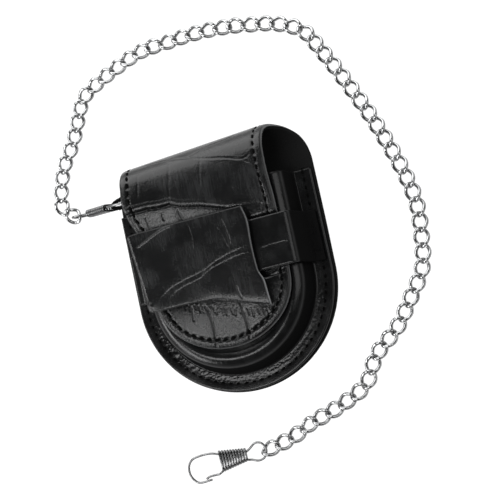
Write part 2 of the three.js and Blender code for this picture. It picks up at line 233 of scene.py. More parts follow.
def smoothTable(rows, wanted, column=1):  # curve through a table's rows that never overshoots them
    rows = np.array(sorted(map(tuple, rows)), float)
    places, values = rows[:, 0], rows[:, column]
    wanted = np.clip(np.asarray(wanted, float), places[0], places[-1])
    gaps = np.diff(places)
    slopes = np.diff(values) / gaps
    before, after = slopes[:-1], slopes[1:]
    turning = before * after <= 0
    middle = np.where(turning, 0.0, 2 * before * after / np.where(turning, 1.0, before + after))
    slopeAt = np.concatenate(([slopes[0]], middle, [slopes[-1]]))
    row = np.clip(np.searchsorted(places, wanted) - 1, 0, len(gaps) - 1)
    share = (wanted - places[row]) / gaps[row]
    startSlope, endSlope = slopeAt[row] * gaps[row], slopeAt[row + 1] * gaps[row]
    return hermite(values[row], values[row + 1], startSlope, endSlope, share)


def lengthsAlong(line):
    return np.concatenate(([0.0], np.cumsum(np.linalg.norm(np.diff(line, axis=0), axis=1))))


def evenLine(line, count):
    lengths = lengthsAlong(line)
    wanted = np.linspace(0, lengths[-1], count)
    return gather(*(np.interp(wanted, lengths, axis) for axis in line.T))


def closedLoop(corners, spacing=0.4):
    corners = np.vstack([corners, corners[:1]])
    return evenLine(corners, round(lengthsAlong(corners)[-1] / spacing))[:-1]


def roundedLine(points, step):  # centripetal spline through charted points, evenly spaced
    points = np.array(points, float)
    padded = np.vstack([2 * points[0] - points[1], points, 2 * points[-1] - points[-2]])
    shares = np.linspace(0, 1, 24, endpoint=False)[:, None]
    pieces = []
    for a, b, c, d in zip(padded[:-3], padded[1:-2], padded[2:-1], padded[3:]):
        first, middle, last = (math.sqrt(np.linalg.norm(q - p)) for p, q in ((a, b), (b, c), (c, d)))
        startSlope = ((b - a) / first - (c - a) / (first + middle) + (c - b) / middle) * middle
        endSlope = ((c - b) / middle - (d - b) / (middle + last) + (d - c) / last) * middle
        pieces.append(hermite(b, c, startSlope, endSlope, shares))
    line = np.vstack(pieces + [points[-1:]])
    return evenLine(line, max(2, round(lengthsAlong(line)[-1] / step) + 1))


def lineDistance(spots, line):  # distance from a line, and the share of its length at the nearest place
    nearest = np.full(len(spots), np.inf)
    share = np.zeros(len(spots))
    lengths = lengthsAlong(line)
    for start, end, low, high in zip(line[:-1], line[1:], lengths[:-1], lengths[1:]):
        run = end - start
        part = clamp((spots - start) @ run / max(run @ run, 1e-12))
        gap = np.linalg.norm(spots - start - part[:, None] * run, axis=1)
        closer = gap < nearest
        nearest = np.where(closer, gap, nearest)
        share = np.where(closer, (low + part * (high - low)) / lengths[-1], share)
    return nearest, share


# share of a groove's length that fades, how fast, and the depth at which its painted shade is darkest
grooveEnds = {"fade": 0.12, "power": 0.7, "darkest": 0.3}


def carve(spots, grooves):  # height that charted grooves leave, and the painted shade in them; a depth below 0 is a ridge
    height, dark = np.zeros(len(spots)), np.zeros(len(spots))
    for depth, width, lip, chart in grooves:
        line = roundedLine(chart, 0.5)
        reach = 4 * width
        near = ((spots > line.min(0) - reach) & (spots < line.max(0) + reach)).all(axis=1)
        if not near.any():
            continue
        gap, share = lineDistance(spots[near], line)
        fade = clamp(np.minimum(share, 1 - share) / grooveEnds["fade"]) ** grooveEnds["power"]
        cut = np.exp(-(gap / width) ** 2) * fade
        height[near] += lip * np.exp(-((gap - 2 * width) / width) ** 2) * fade - depth * cut
        if depth > 0:
            # painted shade: deeper grooves are darker
            dark[near] = np.maximum(dark[near], cut * min(1.0, depth / grooveEnds["darkest"]))
    return height, dark


def insideLoop(spots, loop):
    inside = np.zeros(len(spots), bool)
    for (x0, y0), (x1, y1) in zip(loop, np.roll(loop, -1, axis=0)):
        if y0 == y1:
            continue
        crosses = (y0 > spots[:, 1]) != (y1 > spots[:, 1])
        inside ^= crosses & (spots[:, 0] < x0 + (spots[:, 1] - y0) * (x1 - x0) / (y1 - y0))
    return inside


def insetLoop(loop, distance):  # a closed loop, anticlockwise, moved inwards
    run = np.roll(loop, -1, axis=0) - np.roll(loop, 1, axis=0)
    inward = gather(-run[:, 1], run[:, 0])
    return loop + distance * inward / np.linalg.norm(inward, axis=1)[:, None]


def loopDistance(spots, loop):
    return lineDistance(spots, np.vstack([loop, loop[:1]]))[0]


def fillOutline(loop, zones, insets):  # triangles inside a loop; zones are (low, high, step) up the sheet
    grid = []
    for low, high, step in zones:
        for row, y in enumerate(np.arange(low, high, step * 0.866)):
            xs = np.arange(loop[:, 0].min(), loop[:, 0].max(), step) + (row % 2) * step / 2
            inner = gather(xs, np.full(len(xs), y))
            grid.append(inner[insideLoop(inner, loop)])
    grid = np.vstack(grid)
    steps = np.select([(grid[:, 1] >= low) & (grid[:, 1] < high) for low, high, _ in zones],
                      [step for _, _, step in zones])
    grid = grid[loopDistance(grid, loop) > insets[-1] + 0.5 * np.minimum(steps, 1.2)]
    points = np.vstack([loop] + [insetLoop(loop, inset) for inset in insets] + [grid])
    edges = [(index, (index + 1) % len(loop)) for index in range(len(loop))]
    spots, _, faces, sources, _, _ = delaunay_2d_cdt([Vector(p) for p in points], edges, [], 1, 1e-6)
    border = np.zeros(len(loop), int)
    for index, origins in enumerate(sources):
        for origin in origins:
            if origin < len(loop):
                border[origin] = index
    return np.array([tuple(spot) for spot in spots]), [tuple(face) for face in faces], border


def edgeHalf(distance, half, radius):  # half the thickness, less near a rounded edge
    short = clamp(1 - distance / radius)
    return half - radius * (1 - np.sqrt(1 - short ** 2))


def unit(vectors):
    return vectors / np.linalg.norm(vectors, axis=1)[:, None]


def addObject(name, data):
    made = bpy.data.objects.new(name, data)
    bpy.context.scene.collection.objects.link(made)
    return made


def meshObject(name, points, faces, material, layers=None):
    mesh = bpy.data.meshes.new(name)
    mesh.from_pydata((np.asarray(points) * mm).tolist(), [], faces)
    for layerName, values in (layers or {}).items():
        layer = mesh.attributes.new(layerName, "FLOAT", "POINT")
        layer.data.foreach_set("value", np.asarray(values, np.float32))
    mesh.materials.append(material)
    mesh.shade_smooth()
    mesh.update()
    return addObject(name, mesh)


def finishPiece(piece, slotName, *nodes):
    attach(piece, "root")
    if nodes:
        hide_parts(*nodes)
    lowest = min(corner.co.z for corner in piece.data.vertices) / mm
    triangles = sum(len(face.vertices) - 2 for face in piece.data.polygons)
    print("piece", piece.name, "has", triangles, "triangles and rests at", round(lowest, 3))


def joinSides(name, outer, inner, material):  # two sides of a sheet and the cut edge between their borders
    shift = len(outer["points"])
    faces = list(outer["faces"]) + [tuple(corner + shift for corner in face) for face in inner["faces"]]
    a, c = outer["border"], inner["border"] + shift
    b, d = np.roll(a, -1), np.roll(c, -1)
    faces += gather(*((a, c, d, b) if outer["forward"] else (a, b, d, c))).tolist()
    layers = {key: np.concatenate([outer[key], inner[key]]) for key in ("groove", "cut", "dull")}
    return meshObject(name, np.vstack([outer["points"], inner["points"]]), faces, material, layers)


# Stitches: each lies in a dip of its own, and the leather stands up between them
stitch = {"pitch": 2.85, "length": 2.4, "thread": 1.1, "arch": 0.60, "slant": 0.15, "sunk": 0.22,
          "dip": 0.34, "flangeDip": 0.06, "dipHalf": 0.70, "dipLength": 1.08, "furrow": 0.45}


def stitchMarks(spots, line, deep):  # depth of the dips, and the painted shade along them
    gap, share = lineDistance(spots, line)
    count = int(lengthsAlong(line)[-1] / stitch["pitch"])
    beside = np.abs((share * count + 0.5) % 1 - 0.5) * stitch["pitch"]
    dip = np.exp(-(beside / stitch["dipLength"]) ** 4 - (gap / stitch["dipHalf"]) ** 2)
    furrow = np.exp(-(gap / (0.8 * stitch["dipHalf"])) ** 2)
    share = stitch["furrow"]
    return deep * (share * furrow + (1 - share) * dip), np.maximum(dip, 0.8 * furrow)


# Back and flap: one piece of embossed leather, charted by x and by the way along it
flap = {
    "thickness": 2.2, "edgeRadius": 0.75, "step": 0.32, "backStep": 0.9, "innerStep": 1.6,
    "backRadius": 36.3, "rightRadius": 36.7, "foldRadius": 7.9, "foldCentreY": 42.5, "foldSkew": 0.054,
    "foldShare": 0.95, "endY": -21.0, "tongueStartY": -0.4, "tongueLeft": -24.7, "tongueRight": 24.3,
    "stitchInset": 3.1, "stitchStart": 45.0, "cutShare": 0.27, "cutWidth": 0.45,
    "insets": (0.12, 0.3, 0.55, 0.85),
    "flatTo": 6.0, "glossFrom": 8.0, "glossFade": 4.0,  # ways past the fold's start
    "pressedTo": 15.1,  # the inside of the front is pressed no lower than this, onto the pouch
    # (along, left, right)
    "outline": [
        (0, -36.3, 36.7), (20, -36.4, 36.9), (38, -36.1, 36.9), (42, -35.5, 36.4), (46, -34.1, 34.6),
        (50, -31.9, 31), (54, -30.4, 27.3), (58, -29.8, 25.3), (62, -29.6, 24.5), (67, -29.6, 24.2),
        (72, -30, 24.2), (78, -29.2, 24.4), (84, -27.2, 24.7), (90, -25, 24.7), (100, -24.7, 24.6),
    ],
    # (y, height of the middle layer) down the front, then the tongue's rise below the strap
    "front": [
        (42.5, 16.8), (40.5, 17.05), (38.5, 17.22), (36.5, 17.32), (34, 17.36), (27, 17.25), (21.4, 17.1),
        (20.4, 16.3), (10, 16.2), (0, 16.1),
    ],
    "tongueRise": 1.6, "tongueSwell": 0.38,
    "tongueShare": [(-26, 1), (9, 1), (14, 0.5), (20, 0.12), (26, 0.1)],  # (x, share of the rise)
    # (x, y) of the crease above the panel, and (distance up from it, height) across it
    "crease": [
        (-30, 33.6), (-26.8, 33.7), (-21.8, 33.7), (-16.1, 33.2), (-12.2, 33.1), (-8.8, 31.6), (-1.6, 29.8),
        (5.3, 27.4), (8.8, 26.3), (12.6, 26.1), (17.7, 25.8), (21, 24.4), (26, 23),
    ],
    "creaseSection": [
        (-60, 0), (-16, -0.3), (-8, -1.45), (-5, -1.03), (-1.7, -0.5), (-1.3, -0.46), (-0.9, -0.52),
        (-0.4, -0.46), (0.05, 0), (0.9, 0.14), (1.9, 0.02), (60, 0),
    ],
    # (x, share of that height)
    "creaseShare": [(-31, 1), (0, 1), (8, 0.7), (11, 0.4), (14, 0.1), (27, 0.05)],
    "rolledEdge": {"reach": 2.8, "drop": 0.45, "fade": 12.0},
    # (depth, width, lip, line) with the line in (x, along)
    "grooves": [
        (0.15, 0.3, 0.04, [(-22.4, 60.4), (-16.8, 60.2), (-10.5, 61.4), (-3.5, 63.2), (3.6, 65.3),
                           (11.5, 67.1), (16.6, 68.7), (18.7, 68.4), (19.6, 67.4)]),
        (0.15, 0.3, 0.04, [(-3.5, 63.1), (-0.2, 62), (4.3, 60.7), (8.1, 60.2), (11.5, 59.8),
                           (15, 58.8)]),
        (0.1, 0.3, 0.03, [(16.6, 68.9), (19.5, 71), (21.1, 73.3), (21.4, 75)]),
        (-0.14, 0.22, 0, [(21.3, 76.1), (22.2, 79.1), (22.6, 82.1), (22.8, 85), (22.6, 86.6)]),
        (0.1, 0.35, 0, [(-22, 62), (-22.4, 67.2), (-23.2, 71.8)]),
        (0.12, 0.35, 0, [(-9.9, 62), (-10.4, 66.8), (-11.4, 72), (-11.9, 76.2)]),
        (0.12, 0.35, 0, [(1.6, 61), (1.7, 64.2), (0.7, 69.7), (-0.2, 74.9)]),
        (0.07, 0.3, 0, [(11.5, 77.3), (11.3, 80.5), (11.3, 83.3)]),
        (0.28, 0.3, 0.05, [(-22.2, 79.2), (-21.4, 84.2)]),
        (0.22, 0.3, 0.05, [(-15.8, 79.2), (-15.8, 82.2)]),
        (0.28, 0.3, 0.05, [(-9.7, 79.4), (-9, 83.7)]),
        (0.4, 0.38, 0.06, [(-7.3, 114.2), (-6.2, 118.2), (-5.9, 121.8), (-6.3, 127), (-6.8, 130.1)]),
        (0.4, 0.38, 0.06, [(5.4, 115.8), (5.8, 121), (6.1, 124.6), (5.8, 128.4), (5.5, 130.5)]),
        (0.25, 0.3, 0.04, [(-11.7, 113.8), (-12.4, 119.2)]),
        (0.25, 0.35, 0.04, [(-21.2, 112.8), (-19.8, 116.7), (-17.1, 121.6)]),
        (0.1, 0.3, 0.02, [(14.5, 110.7), (19.4, 110.1), (23, 108.6)]),
        (0.22, 0.3, 0.05, [(20.3, 85.2), (20, 88), (20.7, 89.9)]),
    ],
    # short pleats on the tongue, just below the panel's edge
    "pleats": {"from": -14.0, "to": 15.0, "pitch": 1.55, "start": 112.6, "slope": 0.3, "seed": 3,
               "length": (1.56, 3.38), "depth": (0.06, 0.2), "sway": (-0.4, 0.4), "lean": (-0.3, 0.3)},
    # scales on the back: rows of cross grooves, each with its own joints
    "scales": {"rows": 6, "firstRow": -30.0, "rowPitch": 13.5, "jointPitch": 11.5, "jointGap": 0.6,
               "sway": 1.2, "jointSway": 2.0, "jointLean": 1.5, "jointBow": 0.8, "depth": 0.22, "seed": 5},
}
flap["frontStart"] = flap["foldCentreY"] + math.pi * flap["foldRadius"]
flap["end"] = flap["frontStart"] + flap["foldCentreY"] - flap["endY"]


def flapOutline(spacing=0.5):  # anticlockwise from the middle of the round bottom
    turns = np.linspace(0, math.pi / 2, 120)
    tongueLeft, tongueRight = flap["tongueLeft"], flap["tongueRight"]
    tongueStart = flap["frontStart"] + flap["foldCentreY"] - flap["tongueStartY"]
    rows = flap["outline"] + [(tongueStart, tongueLeft, tongueRight)]
    along = np.linspace(0.5, tongueStart - 0.5, 300)
    middle, reach = (tongueLeft + tongueRight) / 2, (tongueRight - tongueLeft) / 2
    tongueY = tongueStart + (flap["end"] - tongueStart) * np.sin(turns)
    halves = []
    for sign, column, radius in ((1, 2, flap["rightRadius"]), (-1, 1, flap["backRadius"])):
        bottom = gather(sign * radius * np.sin(turns), -flap["backRadius"] * np.cos(turns))
        side = gather(smoothTable(rows, along, column), along)
        halves.append(np.vstack([bottom, side, gather(middle + sign * reach * np.cos(turns), tongueY)]))
    loop = np.vstack([halves[0], halves[1][::-1][1:]])
    return evenLine(loop, round(lengthsAlong(loop)[-1] / spacing))[:-1]


def flapPlace(spots):  # middle layer of the folded leather
    x, along = spots.T
    fold, radius, frontStart = flap["foldCentreY"], flap["foldRadius"], flap["frontStart"]
    turn = np.clip((along - fold) / radius, 0, math.pi)
    foldY = fold + np.sin(turn) * (radius + flap["foldSkew"] * x)
    foldZ = flap["thickness"] / 2 + radius * (1 - np.cos(turn * flap["foldShare"]))
    onFront = along > frontStart
    y = np.where(along < fold, along, np.where(onFront, frontStart + fold - along, foldY))
    up = y - smoothTable(flap["crease"], x)
    front = smoothTable(flap["front"], y)
    front = front + smoothTable(flap["creaseSection"], up) * smoothTable(flap["creaseShare"], x)
    tongueStart = flap["tongueStartY"]
    share = clamp((tongueStart - y) / (tongueStart - flap["endY"]))
    rise = flap["tongueRise"] * smoothTable(flap["tongueShare"], x)
    front = front + rise * np.sin(math.pi * share ** flap["tongueSwell"])
    return gather(x, y, np.where(onFront, front, foldZ))


def outwardNormals(place, spots, nudge=0.06):  # of a sheet, turning from its second axis to its first
    across = place(spots + (nudge, 0)) - place(spots - (nudge, 0))
    along = place(spots + (0, nudge)) - place(spots - (0, nudge))
    return unit(np.cross(along, across))


def scaleGrooves():  # cross grooves of the back's scales, bending a little, with joints between rows
    scales = flap["scales"]
    draw = np.random.default_rng(scales["seed"])
    depth, pitch, gap = scales["depth"], scales["rowPitch"], scales["jointGap"]

    def sway(reach):
        return draw.uniform(-reach, reach)

    grooves = []
    for row in range(scales["rows"]):
        y = scales["firstRow"] + row * pitch
        line = [(x, y + sway(scales["sway"])) for x in np.arange(-39, 40, 6.5)]
        grooves.append((depth, 0.45, 0.06, line))
        for x in np.arange(-34 + 4 * (row % 2), 36, scales["jointPitch"]):
            start = (x + sway(scales["jointSway"]), y + gap)
            end = (start[0] + sway(scales["jointLean"]), y + pitch - gap)
            middle = ((start[0] + end[0]) / 2 + sway(scales["jointBow"]), (start[1] + end[1]) / 2)
            grooves.append((depth * 0.8, 0.40, 0.05, [start, middle, end]))
    return grooves


def pleatGrooves():
    pleats = flap["pleats"]
    draw = np.random.default_rng(pleats["seed"])
    grooves = []
    for x in np.arange(pleats["from"], pleats["to"], pleats["pitch"]):
        start = pleats["start"] + pleats["slope"] * (x - pleats["from"])
        x = x + draw.uniform(*pleats["sway"])
        end = start + draw.uniform(*pleats["length"])
        depth = draw.uniform(*pleats["depth"])
        grooves.append((depth, 0.3, 0.03, [(x, start), (x + draw.uniform(*pleats["lean"]), end)]))
    return grooves


def sheetSide(spots, faces, border, place, edge, sheet, side, relief, dark, facing=1):
    half = edgeHalf(edge, sheet["thickness"] / 2, sheet["edgeRadius"])
    points = place(spots) + outwardNormals(place, spots) * (facing * side * (half + relief))[:, None]
    forward = facing * side > 0
    # painted highlight: the pale cut colour along the sheet's edge
    cut = sheet["cutShare"] * clamp(1 - edge / sheet["cutWidth"])
    return {"points": points, "faces": [face[::-1] for face in faces] if forward else faces, "border": border,
            "forward": forward, "groove": dark, "cut": cut, "dull": np.full(len(spots), float(side < 0))}


def twoSides(sheet, loop, low, high, place, facing=1):  # the face of a sheet, carved, and its plain inside
    for side, step in ((1, sheet["step"]), (-1, sheet["innerStep"])):
        spots, faces, border = fillOutline(loop, [(low, high, step)], sheet["insets"])
        relief, dark = carve(spots, sheet["grooves"])
        for x, y, reach, height in sheet["bulges"]:
            gap = np.hypot(spots[:, 0] - x, spots[:, 1] - y)
            relief += height * np.exp(-(gap / reach) ** 2)
        if side < 0:
            relief, dark = 0 * relief, 0 * dark
        edge = loopDistance(spots, loop)
        yield spots, sheetSide(spots, faces, border, place, edge, sheet, side, relief, dark, facing)


def makeFlap():
    loop = flapOutline()
    fold, insets = flap["foldCentreY"], flap["insets"]
    zones = [(-40, fold, flap["backStep"]), (fold, flap["end"] + 1, flap["step"])]
    spots, faces, border = fillOutline(loop, zones, insets)
    along = spots[:, 1]
    relief, dark = carve(spots, flap["grooves"] + pleatGrooves() + scaleGrooves())
    edge = loopDistance(spots, loop)
    rolled = flap["rolledEdge"]
    relief -= rolled["drop"] * clamp(1 - edge / rolled["reach"]) ** 2 * clamp((along - fold) / rolled["fade"])
    # the stitch dips and the furrow along them get painted shade
    sewn, dipShade = stitchMarks(spots, flapStitchLine(loop), stitch["dip"])
    relief -= sewn
    onBack = along < fold + flap["flatTo"]  # the back lies flat on the ground
    relief = np.where(onBack, np.minimum(relief, 0), relief)
    outer = sheetSide(spots, faces, border, flapPlace, edge, flap, 1, relief, np.maximum(dark, dipShade))
    # the fold keeps its gloss at any slant
    low, high = fold + flap["glossFrom"], flap["frontStart"]
    outer["dull"] = -clamp((along - low) / flap["glossFade"]) * clamp((high - along) / flap["glossFade"])
    spots, faces, border = fillOutline(loop, [(-40, flap["end"] + 1, flap["innerStep"])], insets)
    pressed = np.minimum(0, flapPlace(spots)[:, 2] - flap["thickness"] / 2 - flap["pressedTo"])
    pressed = np.where(spots[:, 1] > flap["frontStart"], pressed, 0)
    edge = loopDistance(spots, loop)
    inner = sheetSide(spots, faces, border, flapPlace, edge, flap, -1, pressed, 0 * pressed)
    return joinSides("back_and_flap_leather", outer, inner, embossedLeather)


def flapStitchLine(loop):
    line = insetLoop(loop, flap["stitchInset"])
    return evenLine(line[line[:, 1] > flap["stitchStart"]], 420)


finishPiece(makeFlap(), "embossed_leather", "back_and_flap")


# Pouch: a section carried down one side, round the bottom and up the other
pouch = {
    "thickness": 1.8, "edgeRadius": 0.6, "cutWidth": 0.4, "mouthY": 34.8, "bendRadius": 34.0,
    # (radius, height of the middle layer) from the flange's edge to the middle of the face
    "section": [
        (36.1, 3.38), (35, 3.4), (33.5, 3.4), (31.4, 3.4), (30.2, 3.5), (29.4, 3.9), (28.8, 4.9),
        (28.3, 7), (27.8, 9.5), (27.4, 11.6), (27, 12.6), (26.3, 13.2), (25.2, 13.75), (24.4, 13.95),
        (23.5, 13.8), (22.3, 13.5), (20, 13.5), (0, 13.8),
    ],
    "stitchRadius": 33.2, "flangeTop": 4.3, "wallFrom": 29.4,
    # fine waves on the bead, near the bottom
    "ripple": {"radius": 24.8, "height": 0.03, "count": 61, "sway": 17, "spread": 0.4},
    "pebbles": {"count": 4200, "inside": 30.1, "middle": 31.3, "outside": 32.5, "height": 0.15, "seed": 11},
    # above this y, and right of this x, the flange fades to these shares of its relief
    "plainFrom": 2.0, "plainFade": 10.0, "plainShare": 0.2, "rightFrom": 8.0, "rightShare": 0.4,
    "sag": 0.06, "sagEnd": 10.0, "sagFade": 12.0,  # fall of the pebbled band per mm outwards, up to this x
    # painted shade: the steep wall and the mouth's edge lose their gloss to the matte flesh, so they stay
    # dark
    "wallShade": 0.9, "wallSlope": 0.8, "mouthShade": 0.9,
    "footRadius": 28.5, "footFrom": 8.0, "footSlope": 0.3,  # above this y the wall's foot gets the painted shade too
    "faceFrom": 19.0,  # the face inside this radius lies under the flap
}


def pouchSection():  # radius and height at even steps, fine where it is seen, and the section's direction
    section = np.array(pouch["section"], float)
    lengths = lengthsAlong(section)
    wallStart, fineEnd = np.interp((-pouch["wallFrom"], -pouch["faceFrom"]), -section[:, 0], lengths)
    places = np.concatenate([(0, 0.1, 0.25, 0.42), np.arange(0.65, wallStart, 0.29),
                             np.arange(wallStart, fineEnd, 0.42), np.linspace(fineEnd, lengths[-1], 9)])

    def at(wanted):
        return np.array([smoothTable(gather(lengths, section), wanted, column) for column in (1, 2)])

    nudge = 0.05
    slope = at(places + nudge) - at(places - nudge)
    return places, *at(places), *(slope / np.hypot(*slope))


def pouchStations():  # (y, turn) round the pouch, fine at the mouth's cut edge
    mouth = np.concatenate([(0, 0.1, 0.25, 0.45), np.arange(0.75, pouch["mouthY"] - 0.2, 0.36)])
    turns = np.linspace(math.pi, 2 * math.pi, round(math.pi * pouch["bendRadius"] / 0.31))
    left = [(pouch["mouthY"] - step, math.pi) for step in mouth]
    right = [(pouch["mouthY"] - step, 2 * math.pi) for step in mouth[::-1]]
    return np.array(left + [(0.0, turn) for turn in turns] + right)


def pebbleHeight(x, y, radius):  # crowded round pebbles on the flange between the wall and the stitches
    pebbles = pouch["pebbles"]
    draw = np.random.default_rng(pebbles["seed"])
    seeds = draw.uniform((-35, -35), (35, 35), (pebbles["count"], 2))
    tree = KDTree(len(seeds))
    for index, seed in enumerate(seeds):
        tree.insert((*seed, 0), index)
    tree.balance()
    height = np.zeros(x.shape)
    share = np.minimum((radius - pebbles["inside"]) / 0.6, (pebbles["outside"] - radius) / 0.5)
    for index in np.ndindex(x.shape):
        if share[index] > 0:
            (_, _, first), (_, _, second) = tree.find_n((x[index], y[index], 0), 2)
            height[index] = min(1, share[index]) * (1 - (2 * first / (first + second)) ** 2)
    return pebbles["height"] * height


def makePouch():
    places, radius, height, slopeR, slopeZ = pouchSection()
    stations = pouchStations()
    y, turn = stations[:, :1], stations[:, 1:]
    size = (len(stations), len(places))
    out = np.dstack([np.cos(turn), np.sin(turn)])
    plan = out * radius[None, :, None]
    plan[:, :, 1] += y
    planX, planY = plan[:, :, 0], plan[:, :, 1]
    middle = np.dstack([plan, np.broadcast_to(height, size)])
    normal = np.dstack([out * slopeZ[None, :, None], np.broadcast_to(-slopeR, size)])
    toMouth = np.where(np.abs(np.sin(turn)) < 1e-6, pouch["mouthY"] - y, 99.0)
    edge = np.minimum(places, toMouth)
    half = edgeHalf(edge, pouch["thickness"] / 2, pouch["edgeRadius"])
    waves = pouch["ripple"]
    nearBottom = np.exp(-((turn - 1.5 * math.pi) / waves["spread"]) ** 2)
    onBead = np.exp(-(radius - waves["radius"]) ** 2)
    ripple = np.sin(turn * waves["count"] + 2 * np.sin(turn * waves["sway"])) * nearBottom * onBead
    marks = stitchMarks(plan.reshape(-1, 2), flangeStitchLine(), stitch["flangeDip"])
    pebbles = pouch["pebbles"]
    onFlange = radius > pebbles["inside"]
    sewn, dipShade = (np.where(onFlange, mark.reshape(size), 0) for mark in marks)
    rough = np.clip((pouch["plainFrom"] - planY) / pouch["plainFade"], pouch["plainShare"], 1)
    rough = rough * np.clip(1 - (planX - pouch["rightFrom"]) / 20, pouch["rightShare"], 1)
    sag = pouch["sag"] * clamp((pouch["sagEnd"] - planX) / pouch["sagFade"]) * (pebbles["middle"] - radius)
    sag = np.where(onFlange & (radius < pebbles["outside"]), sag, 0)
    relief = rough * (pebbleHeight(planX, planY, np.broadcast_to(radius, size)) + sag - sewn)
    relief = relief + waves["height"] * ripple
    foot = (radius > pouch["footRadius"]) & (planY > pouch["footFrom"])
    steep = clamp((slopeZ - np.where(foot, pouch["footSlope"], pouch["wallSlope"])) / 0.15)
    # painted shade: gloss taken off the steep walls and the mouth's edge
    wall = pouch["wallShade"] * np.maximum(steep, clamp(1 - toMouth / pouch["mouthShade"]))
    corner = np.arange(middle[:, :, 0].size).reshape(size)
    faces = np.dstack([corner[:-1, :-1], corner[1:, :-1], corner[1:, 1:], corner[:-1, 1:]]).reshape(-1, 4)
    border = np.concatenate([corner[0, ::-1], corner[1:-1, 0], corner[-1]])
    cut = clamp(1 - edge / pouch["cutWidth"])
    sides = []
    for side, lift, dark, dull in ((1, relief, dipShade, wall), (-1, 0 * relief, 0 * dipShade, 0 * wall + 1)):
        points = middle + normal * (side * (half + lift))[:, :, None]
        sides.append({
            "points": points.reshape(-1, 3), "faces": faces[:, ::side].tolist(), "border": border,
            "forward": side > 0, "groove": dark.ravel(), "cut": cut.ravel(), "dull": dull.ravel()})
    piece = joinSides("pouch_leather", *sides, mouldedLeather)
    weld(piece)
    return piece


def flangeStitchLine():
    radius, mouth = pouch["stitchRadius"], pouch["mouthY"] - 1.0
    turns = np.linspace(math.pi, 2 * math.pi, 120)
    arc = radius * gather(np.cos(turns), np.sin(turns))
    return evenLine(np.vstack([[(-radius, mouth)], arc, [(radius, mouth)]]), 240)


def weld(piece):  # closes the pole and the line where the two halves of the face meet
    work = bmesh.new()
    work.from_mesh(piece.data)
    bmesh.ops.remove_doubles(work, verts=work.verts, dist=0.004 * mm)
    bmesh.ops.dissolve_degenerate(work, edges=work.edges, dist=0.001 * mm)
    work.to_mesh(piece.data)
    work.free()


finishPiece(makePouch(), "moulded_leather", "pouch")


# Keeper strap: over the pouch from one side of the flange to the other
strap = {
    "thickness": 1.6, "edgeRadius": 0.5, "cutShare": 1.0, "cutWidth": 0.45, "centreY": 10.9, "width": 18.0,
    "step": 0.4, "innerStep": 1.1, "insets": (0.1, 0.25, 0.45, 0.7), "bulges": [],
    "wallShade": 0.97, "wallEnd": 16.0,  # how much painted shade (gloss taken off) the right wall gets, and where on the way along it ends
    "route": [
        (34.9, 5.5), (33, 5.5), (31.5, 6.2), (30.4, 8.6), (29.6, 12), (28.9, 15.2), (28.3, 17.2),
        (27.5, 18.2), (26.2, 18.5), (12, 18.6), (-12, 18.6), (-24.9, 18.55), (-26.6, 17.9), (-27.8, 15.9),
        (-28.8, 13.4), (-29.8, 10.4), (-30.5, 8), (-31.6, 6.2), (-33.2, 5.5), (-34.9, 5.5),
    ],
    # (depth, width, lip, line) with the line in (way along from the right foot, across)
    "grooves": [
        (-0.12, 0.22, 0, [(16, -1.1), (19.4, -0.7), (23, -0.8), (27.5, -1)]),
        (-0.06, 0.22, 0, [(19.6, 0.2), (23.4, -0.3), (26.5, -0.6)]),
        (0.2, 0.35, 0.05, [(0.5, -6), (3, -5.4), (5.5, -5.8)]),
        (0.2, 0.4, 0.08, [(1.2, 5.5), (2.2, 3.6), (1.8, 1.6), (2.8, -0.2)]),
        (0.16, 0.35, 0.06, [(3.4, -7.6), (4, -4.6), (3.2, -2.2)]),
    ],
}
strap["route"] = np.array(strap["route"], float)
strap["lengths"] = lengthsAlong(strap["route"])


def strapPlace(spots):
    rows = gather(strap["lengths"], strap["route"])
    x, z = (smoothTable(rows, spots[:, 0], column) for column in (1, 2))
    return gather(x, strap["centreY"] + spots[:, 1], z)


def makeStrap():
    length, half = strap["lengths"][-1], strap["width"] / 2
    loop = closedLoop([(0, -half), (length, -half), (length, half), (0, half)])
    sides = []
    for spots, made in twoSides(strap, loop, -half, half, strapPlace):
        # painted shade: the right wall loses its gloss to the matte flesh
        wall = strap["wallShade"] * clamp(strap["wallEnd"] - spots[:, 0])
        made["dull"] = np.maximum(made["dull"], wall)
        sides.append(made)
    return joinSides("keeper_strap_leather", *sides, mouldedLeather)


finishPiece(makeStrap(), "moulded_leather", "keeper_strap")


